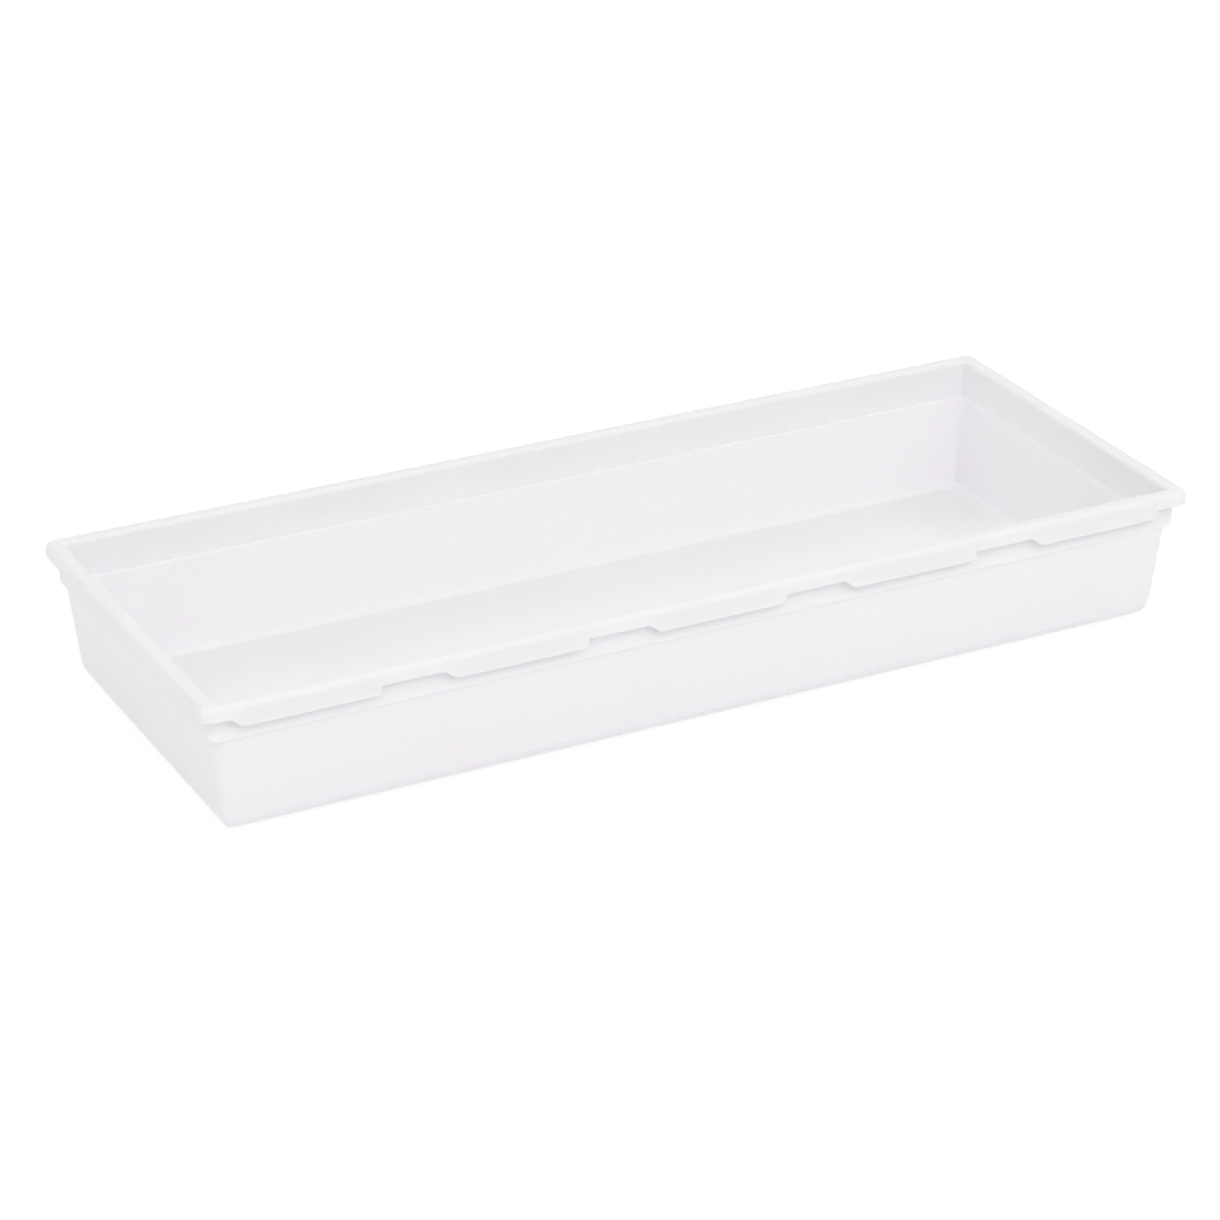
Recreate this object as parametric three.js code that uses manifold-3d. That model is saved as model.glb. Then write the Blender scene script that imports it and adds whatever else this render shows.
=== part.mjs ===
// A shallow drawer organizer tray, moulded in one piece of white polypropylene.
//
// The tray is one closed wall: a flat base, tapered sides, a collar that stands a little wider than the
// sides, and a rolled rim whose lip turns down outside the collar. Deeper tabs hang from the lip of the two
// long sides at a regular pitch, so that trays set side by side hook together.
//
// Frame: millimetres, X along the length, Y along the width, +Z up, origin at the centre of the base.

import * as THREE from 'three';
import Module from 'manifold-3d';
import { mergeVertices } from 'three/addons/utils/BufferGeometryUtils.js';

// Overall size
const length = 381;
const width = 150;
const height = 51.8;

// Shell
const wall = 2.8;
const floorThickness = 2.2;
const draftAngle = 7;
const baseFillet = 8;
const floorFillet = 2.5;

// Rim: a flange that turns down into a lip, with an open channel between the lip and the collar
const flangeThickness = 2.2;
const lipDrop = 5.2;
const lipWall = 1.6;
const channelWidth = 1.75;
const rimOuterRound = 2.2;
const rimInnerRound = 1.6;
const lipEdgeRound = 0.5;

// Collar: the upright band under the rim, ending in a shoulder outside and a ledge inside
const collarDrop = 14.2;
const shoulderStep = 1.05;
const shoulderRound = 0.5;
const ledgeFillet = 0.35;

// Corner radii in plan, each on the outer face of its own band
const rimCorner = 4.3;
const collarCorner = 4;
const bodyCorner = 7;
const leastCorner = 0.8;

// Tabs that hang from the lip: each has a ramp at one end, which leads the next tray's lip in
const tabPitch = 76.2;
const tabLength = 49;
const tabDrop = 8.5;
const tabRamp = 4.2;
const tabCorner = 1;

// Smoothness
const cornerSteps = 7;
const arcSteps = 4;
const edgeSteps = 2;

// Insets are measured inward from the outer face of the lip, levels upward from the base
const collarInset = lipWall + channelWidth;
const bodyInset = collarInset + shoulderStep;
const collarInside = collarInset + wall;
const bodyInside = bodyInset + wall;
const shoulderLevel = height - collarDrop;
const channelCeiling = height - flangeThickness;
const lipBottom = height - lipDrop;
const draft = THREE.MathUtils.degToRad(draftAngle);

// A stretch of the section: its points, and the plan radius that a point has for each inset
const rimBand = (inset) => rimCorner - inset;
const collarBand = (inset) => collarCorner + collarInset - inset;
const bodyBand = (inset) => bodyCorner + bodyInset - inset;

function stretch(points, band) {
  return points.map(([inset, level]) => ({ inset, level, corner: Math.max(band(inset), leastCorner) }));
}

// Points of an arc in the section. Angles are in degrees: 0 faces inward, 90 faces up, 180 faces outward.
function arc(inset, level, radius, from, to, steps) {
  return Array.from({ length: steps + 1 }, (_, i) => {
    const angle = THREE.MathUtils.degToRad(from + ((to - from) * i) / steps);
    return [inset + radius * Math.cos(angle), level + radius * Math.sin(angle)];
  });
}

// The outer side, from the flat base up to the shoulder: a fillet that meets the tapered wall on a tangent
function outerBody() {
  const tangentLevel = baseFillet * (1 - Math.sin(draft));
  const tangentInset = bodyInset + Math.tan(draft) * (shoulderLevel - tangentLevel);
  const centre = tangentInset + baseFillet * Math.cos(draft);
  const fillet = arc(centre, baseFillet, baseFillet, 270, 180 + draftAngle, arcSteps);
  return stretch([...fillet, [bodyInset, shoulderLevel]], bodyBand);
}

// The collar's outer face, from the rounded edge of the shoulder up into the channel under the flange
function outerCollar() {
  const edge = arc(
    collarInset + shoulderRound,
    shoulderLevel + shoulderRound,
    shoulderRound,
    270,
    180,
    edgeSteps,
  );
  return stretch([...edge, [collarInset, channelCeiling]], collarBand);
}

// The lip's inner face, its rounded bottom edge, its outer face and the rolled top of the rim
function lip() {
  const middle = lipBottom + lipEdgeRound;
  return stretch(
    [
      [lipWall, channelCeiling],
      ...arc(lipWall - lipEdgeRound, middle, lipEdgeRound, 0, -90, edgeSteps),
      ...arc(lipEdgeRound, middle, lipEdgeRound, 270, 180, edgeSteps),
      ...arc(rimOuterRound, height - rimOuterRound, rimOuterRound, 180, 90, arcSteps),
    ],
    rimBand,
  );
}

// The rim's inner edge and the collar's inner face, down to the small fillet that meets the ledge
function innerCollar() {
  const roll = arc(collarInside - rimInnerRound, height - rimInnerRound, rimInnerRound, 90, 0, arcSteps);
  const fillet = arc(
    collarInside + ledgeFillet,
    shoulderLevel + ledgeFillet,
    ledgeFillet,
    180,
    270,
    edgeSteps,
  );
  return stretch([...roll, ...fillet], collarBand);
}

// The inner side below the ledge: the rounded edge of the ledge, the tapered wall and the floor's fillet
function innerBody() {
  const edge = arc(
    bodyInside - shoulderRound,
    shoulderLevel - shoulderRound,
    shoulderRound,
    90,
    draftAngle,
    edgeSteps,
  );
  const tangentLevel = floorThickness + floorFillet * (1 - Math.sin(draft));
  const tangentInset = bodyInside + Math.tan(draft) * (shoulderLevel - tangentLevel);
  const centre = tangentInset + floorFillet * Math.cos(draft);
  const fillet = arc(centre, floorThickness + floorFillet, floorFillet, 180 + draftAngle, 270, arcSteps);
  return stretch([...edge, ...fillet], bodyBand);
}

// One ring of the loft: a rounded rectangle at a level, counter-clockwise from above
function ring({ inset, level, corner }) {
  const centreX = length / 2 - inset - corner;
  const centreY = width / 2 - inset - corner;
  const quadrants = [[1, 1], [-1, 1], [-1, -1], [1, -1]];
  return quadrants.flatMap(([sideX, sideY], quarter) =>
    Array.from({ length: cornerSteps + 1 }, (_, i) => {
      const angle = (Math.PI / 2) * (quarter + i / cornerSteps);
      const x = sideX * centreX + corner * Math.cos(angle);
      const y = sideY * centreY + corner * Math.sin(angle);
      return new THREE.Vector3(x, y, level);
    }),
  );
}

// A closed body through all rings, with a flat face over the first and the last
function loft(rings) {
  const count = rings[0].length;
  const index = [];
  for (let i = 0; i + 1 < rings.length; i += 1) {
    for (let j = 0; j < count; j += 1) {
      const next = (j + 1) % count;
      const [a, b] = [i * count + j, i * count + next];
      const [c, d] = [a + count, b + count];
      index.push(a, b, d, a, d, c);
    }
  }
  const last = (rings.length - 1) * count;
  const underside = rings.length * count;
  const topside = underside + 1;
  for (let j = 0; j < count; j += 1) {
    const next = (j + 1) % count;
    index.push(underside, next, j);
    index.push(topside, last + j, last + next);
  }
  const centres = [rings[0], rings.at(-1)].map((points) => new THREE.Vector3(0, 0, points[0].z));
  const geometry = new THREE.BufferGeometry().setFromPoints([...rings.flat(), ...centres]);
  geometry.setIndex(index);
  return geometry;
}

function trayShell() {
  const section = [...outerBody(), ...outerCollar(), ...lip(), ...innerCollar(), ...innerBody()];
  return loft(section.map(ring));
}

// One tab, seen from outside the tray with x along the lip and y up: a ramp at its left end, an upright
// right end with a rounded corner, and a root buried in the lip. It is as thick as the lip.
function tabGeometry() {
  const bottom = height - tabDrop;
  const root = (lipBottom + channelCeiling) / 2;
  const half = tabLength / 2;
  const shape = new THREE.Shape();
  shape.moveTo(-half - tabRamp, root);
  shape.lineTo(-half - tabRamp, lipBottom);
  shape.lineTo(-half, bottom);
  shape.lineTo(half - tabCorner, bottom);
  shape.absarc(half - tabCorner, bottom + tabCorner, tabCorner, -Math.PI / 2, 0, false);
  shape.lineTo(half, root);
  const geometry = new THREE.ExtrudeGeometry(shape, {
    depth: lipWall - 2 * lipEdgeRound,
    curveSegments: arcSteps,
    bevelThickness: lipEdgeRound,
    bevelSize: lipEdgeRound,
    bevelOffset: -lipEdgeRound,
    bevelSegments: edgeSteps,
  });
  return geometry.rotateX(Math.PI / 2).translate(0, lipWall - lipEdgeRound, 0);
}

// Every tab in its place: as many as the pitch gives along the front, and the same again along the back,
// turned half round
function tabs() {
  const straight = length - 2 * rimCorner;
  const copies = Math.max(1, Math.floor((straight - tabLength - tabRamp) / tabPitch) + 1);
  return [0, Math.PI].flatMap((turn) =>
    Array.from({ length: copies }, (_, i) => {
      const along = (i - (copies - 1) / 2) * tabPitch;
      return tabGeometry().translate(along, -width / 2, 0).rotateZ(turn);
    }),
  );
}

const wasm = await Module();
wasm.setup();

function toSolid(geometry) {
  geometry.deleteAttribute('normal');
  geometry.deleteAttribute('uv');
  const merged = mergeVertices(geometry, 1e-4);
  const vertProperties = new Float32Array(merged.attributes.position.array);
  const triVerts = new Uint32Array(merged.index.array);
  return new wasm.Manifold(new wasm.Mesh({ numProp: 3, vertProperties, triVerts }));
}

function toGeometry(solid) {
  const { vertProperties, triVerts } = solid.getMesh();
  const geometry = new THREE.BufferGeometry();
  geometry.setAttribute('position', new THREE.BufferAttribute(vertProperties, 3));
  geometry.setIndex(new THREE.BufferAttribute(triVerts, 1));
  geometry.computeVertexNormals();
  return geometry;
}

const moulding = tabs().reduce((solid, tab) => solid.add(toSolid(tab)), toSolid(trayShell()));

const whitePolypropylene = new THREE.MeshStandardMaterial({
  color: 0xf2f2f1,
  roughness: 0.42,
  metalness: 0,
});

const tray = new THREE.Mesh(toGeometry(moulding), whitePolypropylene);
tray.name = 'tray';

const organizer = new THREE.Group();
organizer.add(tray);

export default organizer;
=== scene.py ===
# %% [markdown]
# # A moulded drawer organizer tray
# The real object is one piece of white polypropylene, moulded in one shot: a flat base, four tapered
# walls, an upright collar under the rim, and a rim that rolls over and turns down into a lip with a row
# of tabs. This lesson builds that tray, gives it its satin plastic finish, and lights it on a pale
# studio floor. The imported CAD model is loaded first. It says where everything is, and nothing here
# changes it.

# %% Load the frame
import math

import bmesh
import bpy
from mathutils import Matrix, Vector


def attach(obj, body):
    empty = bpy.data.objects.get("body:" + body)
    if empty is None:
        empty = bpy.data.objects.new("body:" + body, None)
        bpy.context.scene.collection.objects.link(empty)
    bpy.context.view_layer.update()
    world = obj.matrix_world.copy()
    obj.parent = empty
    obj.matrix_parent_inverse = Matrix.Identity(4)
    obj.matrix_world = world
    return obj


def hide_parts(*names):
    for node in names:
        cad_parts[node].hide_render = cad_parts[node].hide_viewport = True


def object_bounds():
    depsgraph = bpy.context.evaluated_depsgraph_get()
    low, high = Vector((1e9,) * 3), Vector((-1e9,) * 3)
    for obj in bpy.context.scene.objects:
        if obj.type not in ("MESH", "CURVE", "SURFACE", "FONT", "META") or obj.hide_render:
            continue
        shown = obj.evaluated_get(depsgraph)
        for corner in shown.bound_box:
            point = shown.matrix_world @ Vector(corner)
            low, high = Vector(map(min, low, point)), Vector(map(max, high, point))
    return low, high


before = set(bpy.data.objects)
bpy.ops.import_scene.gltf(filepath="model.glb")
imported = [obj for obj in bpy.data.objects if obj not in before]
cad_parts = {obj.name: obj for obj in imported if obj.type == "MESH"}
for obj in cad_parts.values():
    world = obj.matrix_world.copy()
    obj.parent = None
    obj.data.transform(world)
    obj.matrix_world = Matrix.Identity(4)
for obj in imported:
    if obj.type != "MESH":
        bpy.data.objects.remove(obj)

cad_low, cad_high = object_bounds()
cad_size = 1000 * (cad_high - cad_low)
print("CAD box in mm:", [round(side, 2) for side in cad_size])

# %% [markdown]
# ## The camera
# The place, the turn and the focal length come from the straight edges of the photograph: the rim, the
# base and the floor line each have to fall where the photograph shows them. The long lens keeps the
# sides nearly parallel.

# %% Camera
camera_data = bpy.data.cameras.new("studio_camera")
camera = bpy.data.objects.new("studio_camera", camera_data)
bpy.context.scene.collection.objects.link(camera)
bpy.context.scene.camera = camera
camera.location = (-0.60438, -1.16909, 0.64195)
camera.rotation_euler = [math.radians(angle) for angle in (64.514, 0.135, -27.190)]
camera_data.sensor_width = 36
camera_data.lens = 120
camera_data.clip_start = 0.05
camera_data.clip_end = 50
print("camera stands", round(camera.location.length, 3), "m from the tray")

# %% [markdown]
# ## The sizes of the tray
# A moulding like this is drawn as one section that runs all the way round. Each point of the section
# has an inset, measured inward from the outer face of the lip, and a level above the base. The corner
# radius in plan belongs to the band that the point is on: rim, collar or body. All sizes are in
# millimetres until the mesh is made.

# %% Sizes
half_length, half_width, height = cad_size.x / 2, cad_size.y / 2, cad_size.z
wall, floor_thickness, draft = 2.8, 2.2, math.radians(7)
flange, lip_drop, lip_wall, lip_round, channel = 2.2, 5.2, 1.6, 0.5, 1.75
collar_drop, shoulder_step, shoulder_round, ledge_round, ledge_fillet = 14.2, 1.05, 0.5, 0.9, 0.1
rim_outer_round, rim_inner_round, base_fillet, floor_fillet = 2.2, 1.6, 8.0, 2.5
rim_corner, collar_corner, body_corner, least_corner = 4.3, 4.0, 7.0, 0.8
foot_steps, roll_steps, ledge_steps, edge_steps, fillet_steps = 10, 8, 6, 4, 3
collar_inset = lip_wall + channel
body_inset = collar_inset + shoulder_step
collar_inside = collar_inset + wall
body_inside = body_inset + wall
shoulder = height - collar_drop
lip_bottom = height - lip_drop
print("collar at", collar_inset, "mm, body at", round(body_inset, 2), "mm in from the lip")


# %% [markdown]
# ## The section, one stretch at a time
# Rounded edges are what make plastic look moulded, because each catches a line of light. So the section
# is written as arcs and straight runs, from the underside up the outer wall, under and round the lip,
# over the rim, and down the inside to the floor.

# %% Arcs and bands
def arc(inset, level, radius, start, end, steps):
    """Points of an arc; 0 degrees faces into the tray, 90 up and 180 outward."""
    angles = [math.radians(start + (end - start) * i / steps) for i in range(steps + 1)]
    return [(inset + radius * math.cos(a), level + radius * math.sin(a)) for a in angles]


def band(points, outer_radius, outer_inset):
    """Gives each point the plan radius of its band, which shrinks as the inset grows."""
    return [(s, z, max(outer_radius + outer_inset - s, least_corner)) for s, z in points]


# %% Outer wall, from the flat underside up to the shoulder
def wall_foot(inset_at_shoulder, base_level, radius, start, end, steps):
    """The rounded foot of a tapered wall, where it meets the wall on a tangent."""
    tangent_level = base_level + radius * (1 - math.sin(draft))
    tangent_inset = inset_at_shoulder + math.tan(draft) * (shoulder - tangent_level)
    centre = tangent_inset + radius * math.cos(draft)
    return arc(centre, base_level + radius, radius, start, end, steps)


tilt = math.degrees(draft)
outer_body = wall_foot(body_inset, 0, base_fillet, 270, 180 + tilt, foot_steps)
outer_body += [(body_inset, shoulder)]
outer_body = band(outer_body, body_corner, body_inset)
print(len(outer_body), "rings on the outer wall")

# %% Collar, lip and rim
edge_centre = (collar_inset + shoulder_round, shoulder + shoulder_round)
collar_outside = arc(*edge_centre, shoulder_round, 270, 180, edge_steps)
collar_outside += [(collar_inset, height - flange)]
collar_outside = band(collar_outside, collar_corner, collar_inset)
lip_centre = lip_bottom + lip_round
lip_and_rim = [(lip_wall, height - flange)]
lip_and_rim += arc(lip_wall - lip_round, lip_centre, lip_round, 0, -90, edge_steps)
lip_and_rim += arc(lip_round, lip_centre, lip_round, 270, 180, edge_steps)
lip_and_rim += arc(rim_outer_round, height - rim_outer_round, rim_outer_round, 180, 90, roll_steps)
lip_and_rim = band(lip_and_rim, rim_corner, 0)
print(len(collar_outside) + len(lip_and_rim), "rings on the collar, the lip and the rim")

# %% Inside, from the rim down over the ledge to the floor
roll_centre = (collar_inside - rim_inner_round, height - rim_inner_round)
fillet_centre = (collar_inside + ledge_fillet, shoulder + ledge_fillet)
ledge_centre = (body_inside - ledge_round, shoulder - ledge_round)
inside_collar = arc(*roll_centre, rim_inner_round, 90, 0, roll_steps)
inside_collar += arc(*fillet_centre, ledge_fillet, 180, 270, fillet_steps)
inside_collar = band(inside_collar, collar_corner, collar_inset)
inside_body = arc(*ledge_centre, ledge_round, 90, tilt, ledge_steps)
inside_body += wall_foot(body_inside, floor_thickness, floor_fillet, 180 + tilt, 270, roll_steps)
inside_body = band(inside_body, body_corner, body_inset)
section = outer_body + collar_outside + lip_and_rim + inside_collar + inside_body
print(len(section), "rings in all")


# %% [markdown]
# ## Rings and bridges
# By hand, a loft is made by drawing each outline and bridging it to the next. A plane is added,
# stretched to the outline's size, and its four corners are rounded by a vertex bevel. Only the edges of
# the face are kept. Each outline has the same number of points, so a bridge between two of them is one
# clean band of quads. Two outlines at the same level can be bridged with a twist. So the outlines are
# first stacked into a tower, one above the next, and each ring is pushed to its own level when all the
# bridges are there.

# %% Start an empty mesh and a mark for each ring
bpy.ops.object.select_all(action="DESELECT")
bpy.ops.mesh.primitive_plane_add(size=0.01)
tray = bpy.context.object
tray.name = "tray_moulding"
bpy.ops.object.mode_set(mode="EDIT")
bpy.ops.mesh.select_all(action="SELECT")
bpy.ops.mesh.delete(type="VERT")
bpy.ops.mesh.select_mode(type="VERT")
corner_segments = 12
storey = 0.01
print("started", tray.name)


# %% Helpers: edit the mesh in place and mark each ring
def editing():
    """The tray's mesh as it stands in edit mode."""
    return bmesh.from_edit_mesh(tray.data)


def ring_marks(mesh):
    """The number of each point's ring, counted from 1; it is made where it is missing."""
    return mesh.verts.layers.int.get("ring") or mesh.verts.layers.int.new("ring")


def select_where(kind, test):
    """Selects the points or faces that pass the test, and nothing else."""
    bpy.ops.mesh.select_all(action="DESELECT")
    mesh = editing()
    mesh.select_mode = {kind}
    parts = {"VERT": mesh.verts, "FACE": mesh.faces}[kind]
    for part in [part for part in parts if test(part)]:
        part.select_set(True)
    mesh.select_flush_mode()
    bmesh.update_edit_mesh(tray.data)


def select_rings(*numbers):
    """Selects the points of the rings with these numbers, and nothing else."""
    marks = ring_marks(editing())
    select_where("VERT", lambda point: point[marks] in numbers)


# %% One ring
def add_ring(number, inset, corner):
    """A rounded rectangle: a plane, stretched, with its corners bevelled and its face taken out."""
    centre = (0, 0, number * storey)
    bpy.ops.mesh.select_all(action="DESELECT")
    bpy.ops.mesh.primitive_plane_add(size=1, location=centre)
    size = (2 * (half_length - inset) / 1000, 2 * (half_width - inset) / 1000, 1)
    bpy.ops.transform.resize(value=size, center_override=centre)
    bpy.ops.mesh.bevel(offset=corner / 1000, segments=corner_segments, affect="VERTICES", clamp_overlap=False)
    mesh = editing()
    marks = ring_marks(mesh)
    for point in mesh.verts:
        if point.select:
            point[marks] = number
    bmesh.update_edit_mesh(tray.data)
    bpy.ops.mesh.delete(type="ONLY_FACE")


for number, (inset, _, corner) in enumerate(section, start=1):
    add_ring(number, inset, corner)
print(len(editing().verts), "points on", len(section), "rings")

# %% Bridge each ring to the next
for number in range(1, len(section)):
    select_rings(number, number + 1)
    bpy.ops.mesh.bridge_edge_loops()
print(len(editing().faces), "faces in the bands")

# %% Push each ring to its level
for number, (_, level, _) in enumerate(section, start=1):
    select_rings(number)
    bpy.ops.transform.translate(value=(0, 0, level / 1000 - number * storey))
levels = [1000 * point.co.z for point in editing().verts]
print("levels from", round(min(levels), 3), "to", round(max(levels), 3), "mm")

# %% Close the underside and the floor
for number in (1, len(section)):
    select_rings(number)
    bpy.ops.mesh.edge_face_add()
bpy.ops.mesh.select_all(action="SELECT")
bpy.ops.mesh.normals_make_consistent(inside=False)
print("open edges left:", sum(edge.is_boundary for edge in editing().edges))

# %% [markdown]
# ## The tabs
# Trays of this kind hook together, so the lip of each long side hangs deeper in stretches at a regular
# pitch. Seen from outside, each tab begins with a ramp at its left and ends upright at its right. The
# lip is cut across at the points of that outline, and its lower edge, rounding and all, is drawn down
# at each cut by the outline's depth. That keeps the tab part of the lip, as in the mould, with no seam
# where it meets it.

# %% The outline of a tab
tab_pitch, tab_length, tab_drop, tab_ramp = 76.2, 49.0, 8.5, 4.2
tab_draft, root_round, foot_round, corner_round = 0.25, 0.8, 1.2, 1.0
tab_middles = [tab_pitch * step for step in range(-2, 3)]
depth = tab_drop - lip_drop
ramp_start, ramp_end, tab_end = -tab_length / 2 - tab_ramp, -tab_length / 2, tab_length / 2
bends = [  # along the lip, depth below it, and how far the corner is rounded off
    (ramp_start - root_round, 0, 0),
    (ramp_start, 0, root_round),
    (ramp_end, depth, foot_round),
    (tab_end - tab_draft, depth, corner_round),
    (tab_end, 0, 0),
]


def rounded_outline(corners, steps):
    """The points of a bent line, with each corner rounded off over its own reach."""
    points = []
    for before, corner, after in zip(corners, corners[1:], corners[2:]):
        bend, reach = Vector(corner[:2]), corner[2]
        arrive = bend + reach * (Vector(before[:2]) - bend).normalized()
        leave = bend + reach * (Vector(after[:2]) - bend).normalized()
        for t in (i / steps for i in range(steps + 1)):
            points.append((1 - t) ** 2 * arrive + 2 * t * (1 - t) * bend + t**2 * leave)
    return points + [Vector(corners[-1][:2])]


outline = rounded_outline(bends, edge_steps)
print(len(outline), "points on a tab's outline, which hangs", round(depth, 2), "mm below the lip")


# %% Cut the lip across at each point of the outline
slack = 0.01


def in_lip(point, side):
    """True for a point of the lip on the front (-1) or the back (1), below the roll of the rim."""
    inset, level = half_width - 1000 * side * point.co.y, 1000 * point.co.z
    return inset < lip_wall + slack and lip_bottom - slack < level < height - rim_outer_round + slack


def places(side, along):
    """Where one point of the outline comes on a side; the back is the front turned half round."""
    return [middle - side * along for middle in tab_middles]


for side in (-1, 1):
    for along, _ in outline:
        for place in places(side, along):
            select_where("FACE", lambda face: all(in_lip(point, side) for point in face.verts))
            bpy.ops.mesh.bisect(plane_co=(place / 1000, 0, 0), plane_no=(1, 0, 0), threshold=1e-6)
print(len(editing().faces), "faces after the cuts")


# %% Draw the lip's lower edge down to the outline
def at_cut(point, side, along):
    """True for a point of the lip's rounded lower edge at one point of the outline."""
    low = 1000 * point.co.z < lip_bottom + lip_round + slack
    near = min(abs(1000 * point.co.x - place) for place in places(side, along)) < 0.1 * slack
    return low and near and in_lip(point, side)


for along, hang in reversed(outline):
    if hang > 0:
        select_where("VERT", lambda point: at_cut(point, -1, along) or at_cut(point, 1, along))
        bpy.ops.transform.translate(value=(0, 0, -hang / 1000))
print("tabs reach down to", round(min(lip_bottom - hang for _, hang in outline), 2), "mm")

# %% [markdown]
# ## Smooth shading that keeps flat faces flat
# The rounded edges are narrow beside the large flat faces. Plain smooth shading would bend the light
# across a whole face to meet them, so the normals are weighted by area: the flat faces keep theirs, and
# the arcs take the turn.

# %% Shade and weight the normals
bpy.ops.mesh.select_all(action="SELECT")
bpy.ops.mesh.remove_doubles(threshold=1e-6)
bpy.ops.mesh.normals_make_consistent(inside=False)
bpy.ops.object.mode_set(mode="OBJECT")
tray.data.attributes.remove(tray.data.attributes["ring"])
bpy.ops.object.shade_smooth_by_angle(angle=math.radians(35))
weighted = tray.modifiers.new("even_faces", "WEIGHTED_NORMAL")
weighted.keep_sharp = True
bpy.ops.object.modifier_apply(modifier=weighted.name)
print(len(tray.data.vertices), "points,", len(tray.data.polygons), "faces on the finished tray")

# %% [markdown]
# ## White satin polypropylene
# The plastic is a cool white. Light sinks a millimetre or two into it before it comes out again, which
# softens the edges and the lines of the rim. The mould was finely blasted, so the gloss is broken up by
# a grain that is only seen from close by. The thickness of the wall and the flow of the melt leave
# faint, broad clouds in the white.

# %% The finish
plastic = bpy.data.materials.new("white_satin_polypropylene")
plastic.use_nodes = True
nodes, links = plastic.node_tree.nodes, plastic.node_tree.links
surface = nodes["Principled BSDF"]
surface.inputs["IOR"].default_value = 1.49
surface.inputs["Specular IOR Level"].default_value = 0.3
surface.inputs["Subsurface Weight"].default_value = 1.0
surface.inputs["Subsurface Radius"].default_value = (1.0, 0.95, 1.0)
surface.inputs["Subsurface Scale"].default_value = 0.0018
coordinates = nodes.new("ShaderNodeTexCoord")
print("made", plastic.name)

# %% Broad clouds in the white
clouds = nodes.new("ShaderNodeTexNoise")
clouds.inputs["Scale"].default_value = 14
clouds.inputs["Detail"].default_value = 3
clouds.inputs["Roughness"].default_value = 0.55
white = nodes.new("ShaderNodeValToRGB")
clouded, clear = white.color_ramp.elements
clouded.position, clouded.color = 0.3, (0.935, 0.912, 0.944, 1)
clear.position, clear.color = 0.7, (0.950, 0.931, 0.960, 1)
links.new(coordinates.outputs["Object"], clouds.inputs["Vector"])
links.new(clouds.outputs["Fac"], white.inputs["Fac"])
links.new(white.outputs["Color"], surface.inputs["Base Color"])
print("white runs from", [round(part, 3) for part in clouded.color[:3]], "to a touch more")

# %% Fine grain in the gloss
grain = nodes.new("ShaderNodeTexNoise")
grain.inputs["Scale"].default_value = 1800
grain.inputs["Detail"].default_value = 2
gloss = nodes.new("ShaderNodeMapRange")
gloss.inputs["To Min"].default_value = 0.36
gloss.inputs["To Max"].default_value = 0.5
bump = nodes.new("ShaderNodeBump")
bump.inputs["Strength"].default_value = 0.12
bump.inputs["Distance"].default_value = 0.00003
links.new(coordinates.outputs["Object"], grain.inputs["Vector"])
links.new(grain.outputs["Fac"], gloss.inputs["Value"])
links.new(gloss.outputs["Result"], surface.inputs["Roughness"])
links.new(grain.outputs["Fac"], bump.inputs["Height"])
links.new(bump.outputs["Normal"], surface.inputs["Normal"])
tray.data.materials.clear()
tray.data.materials.append(plastic)
print("grain of about", round(1000 / grain.inputs["Scale"].default_value, 2), "mm")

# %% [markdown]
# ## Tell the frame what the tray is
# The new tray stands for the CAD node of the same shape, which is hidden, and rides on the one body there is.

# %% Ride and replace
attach(tray, "root")
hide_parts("tray")
print(tray.name, "rides on root")

# %% [markdown]
# ## Studio floor and backdrop
# A pale floor sends light back up on the outside of the walls. It also glows faintly, as the lit table
# of a product studio does. The camera sees it lifted to the white of the photograph's background, and
# the tray's soft shadow stays on it. The gloss of the tray has to show that same white, so the rays
# that leave a glossy or a clear surface count as the camera's own.

# %% Which rays see the white
def seen_rays(nodes, links):
    """A socket that is 1 for rays from the camera, a gloss or a clear surface, and 0 for plain light."""
    path = nodes.new("ShaderNodeLightPath")
    total = path.outputs["Is Camera Ray"]
    for kind in ("Is Glossy Ray", "Is Transmission Ray"):
        either = nodes.new("ShaderNodeMath")
        either.operation = "MAXIMUM"
        links.new(total, either.inputs[0])
        links.new(path.outputs[kind], either.inputs[1])
        total = either.outputs[0]
    return total


# %% Floor
bpy.ops.object.select_all(action="DESELECT")
floor_gap = 0.0004
bpy.ops.mesh.primitive_plane_add(size=12, location=(0, 0, -floor_gap))
floor = bpy.context.object
floor.name = "studio_floor"
pale = bpy.data.materials.new("studio_floor_white")
pale.use_nodes = True
pale_nodes, pale_links = pale.node_tree.nodes, pale.node_tree.links
pale_nodes.clear()
output = pale_nodes.new("ShaderNodeOutputMaterial")
paint = pale_nodes.new("ShaderNodeBsdfDiffuse")
paint.inputs["Color"].default_value = (0.865, 0.845, 0.875, 1)
glow = pale_nodes.new("ShaderNodeEmission")
glow.inputs["Strength"].default_value = 0.12
sheet = pale_nodes.new("ShaderNodeAddShader")
thin_paint = pale_nodes.new("ShaderNodeBsdfDiffuse")
thin_paint.inputs["Color"].default_value = (0.3, 0.3, 0.3, 1)
lift = pale_nodes.new("ShaderNodeEmission")
lift.inputs["Strength"].default_value = 0.78
seen = pale_nodes.new("ShaderNodeAddShader")
choose = pale_nodes.new("ShaderNodeMixShader")
pale_links.new(thin_paint.outputs[0], seen.inputs[0])
pale_links.new(lift.outputs[0], seen.inputs[1])
pale_links.new(seen_rays(pale_nodes, pale_links), choose.inputs["Fac"])
pale_links.new(paint.outputs[0], sheet.inputs[0])
pale_links.new(glow.outputs[0], sheet.inputs[1])
pale_links.new(sheet.outputs[0], choose.inputs[1])
pale_links.new(seen.outputs[0], choose.inputs[2])
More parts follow.
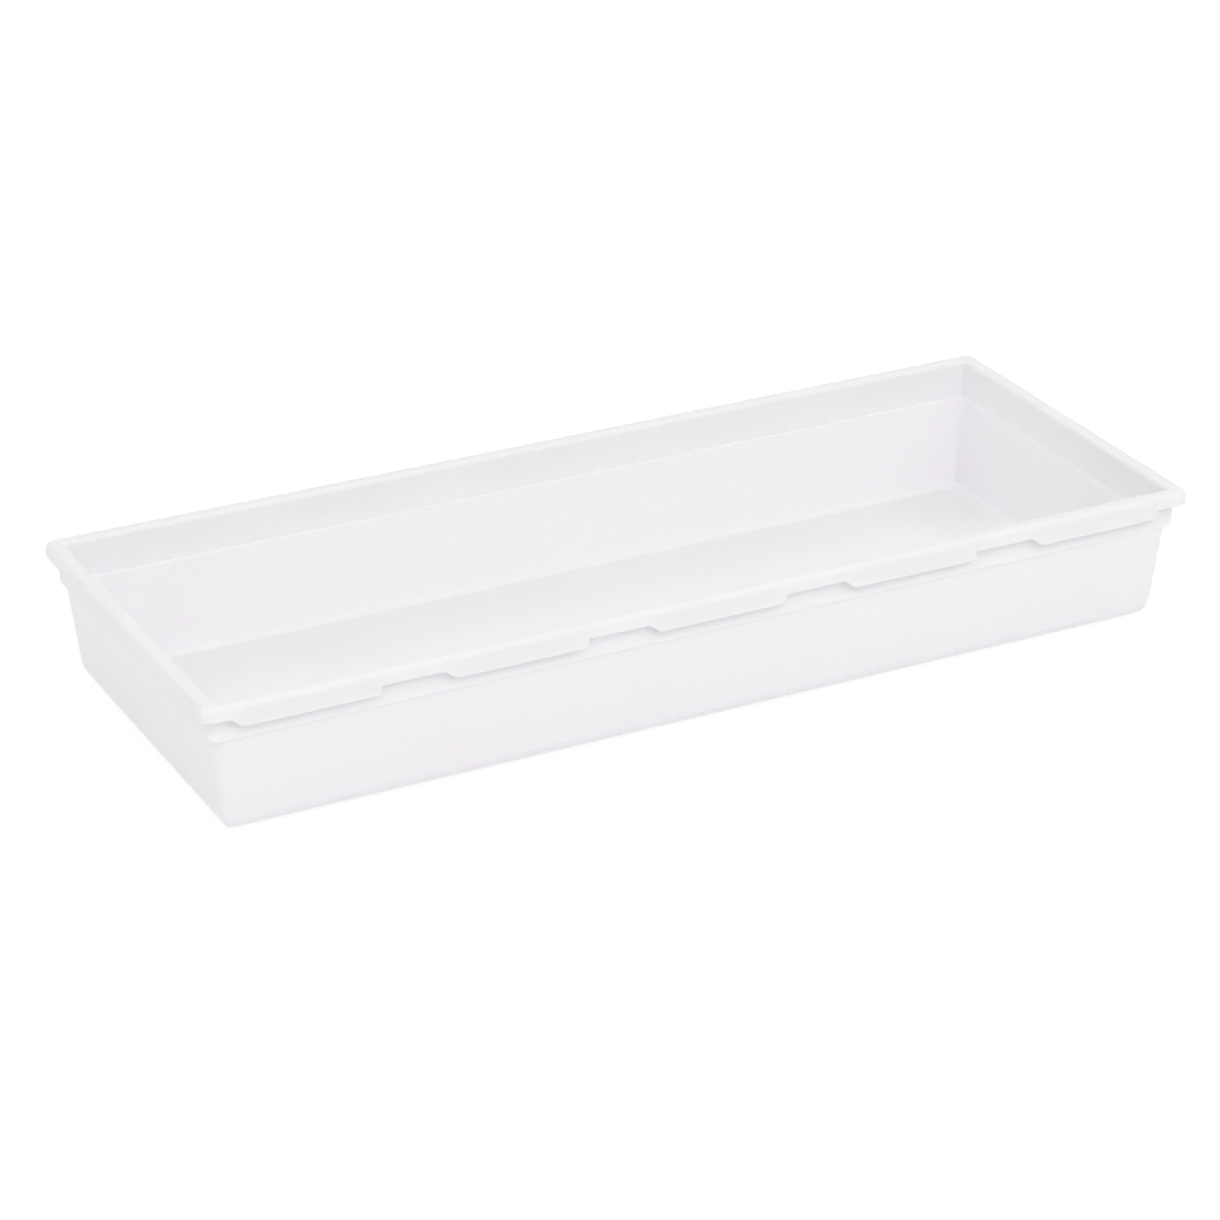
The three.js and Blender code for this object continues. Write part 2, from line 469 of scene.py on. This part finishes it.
pale_links.new(choose.outputs[0], output.inputs["Surface"])
floor.data.materials.append(pale)
print("floor laid", 1000 * floor_gap, "mm under the tray")

# %% [markdown]
# ## The room
# The flat faces of the tray are nearly the same white in the photograph, the floor as well as the
# walls. That takes light from all round, at a height from which it reaches both: a ring that stands
# about 50 degrees up. There is less light below the ring and none straight above, which would make the
# rim too bright. The ramp runs from the horizon, at 0, to the zenith, at 1.

# %% World: a ring of light for the tray, white for the camera
world = bpy.data.worlds.new("studio_white")
bpy.context.scene.world = world
world.use_nodes = True
world_nodes, world_links = world.node_tree.nodes, world.node_tree.links
room = world_nodes["Background"]
room.inputs["Strength"].default_value = 1.85
ring_of_light = [(0, 0.19), (0.2, 0.38), (0.45, 0.38), (0.65, 0.2), (0.73, 1), (0.84, 1), (0.87, 0)]
ramp = world_nodes.new("ShaderNodeValToRGB")
stops = ramp.color_ramp.elements
stops.remove(stops[1])
for position, brightness in ring_of_light:
    stop = stops.new(position) if position > 0 else stops[0]
    stop.color = (brightness, brightness, brightness, 1)
skyward = world_nodes.new("ShaderNodeTexCoord")
split = world_nodes.new("ShaderNodeSeparateXYZ")
world_links.new(skyward.outputs["Generated"], split.inputs["Vector"])
world_links.new(split.outputs["Z"], ramp.inputs["Fac"])
world_links.new(ramp.outputs["Color"], room.inputs["Color"])
white_wall = world_nodes.new("ShaderNodeBackground")
white_wall.inputs["Color"].default_value = (1, 1, 1, 1)
white_wall.inputs["Strength"].default_value = 1
world_mix = world_nodes.new("ShaderNodeMixShader")
world_links.new(seen_rays(world_nodes, world_links), world_mix.inputs["Fac"])
world_links.new(room.outputs[0], world_mix.inputs[1])
world_links.new(white_wall.outputs[0], world_mix.inputs[2])
world_links.new(world_mix.outputs[0], world_nodes["World Output"].inputs["Surface"])
print(len(stops), "stops from the horizon to the zenith")


# %% [markdown]
# ## Soft boxes
# The ring is the same on all sides, so the lamps draw the differences. A box above, a little to the
# right and behind, leaves the floor darkest beside the right and the back wall. Two broad boxes, one
# low at the left and one in front, keep the near walls clear.

# %% Lights
def soft_box(name, place, size, watts):
    """A square lamp that looks at the tray."""
    data = bpy.data.lights.new(name, "AREA")
    data.size = size
    data.energy = watts
    lamp = bpy.data.objects.new(name, data)
    bpy.context.scene.collection.objects.link(lamp)
    lamp.location = place
    lamp.rotation_euler = (-Vector(place)).to_track_quat("-Z", "Y").to_euler()
    return lamp


lamps = [
    soft_box("key_above_right", (0.61, 0.61, 2.03), 0.6, 2.4),
    soft_box("side_left", (-2.125, 0, 0.569), 1.0, 1.9),
    soft_box("fill_front", (0, -1.635, 1.472), 1.0, 8.9),
]
print("lamps:", [lamp.name for lamp in lamps])

# %% View settings
bpy.context.scene.view_settings.view_transform = "Standard"
print("view transform:", bpy.context.scene.view_settings.view_transform)
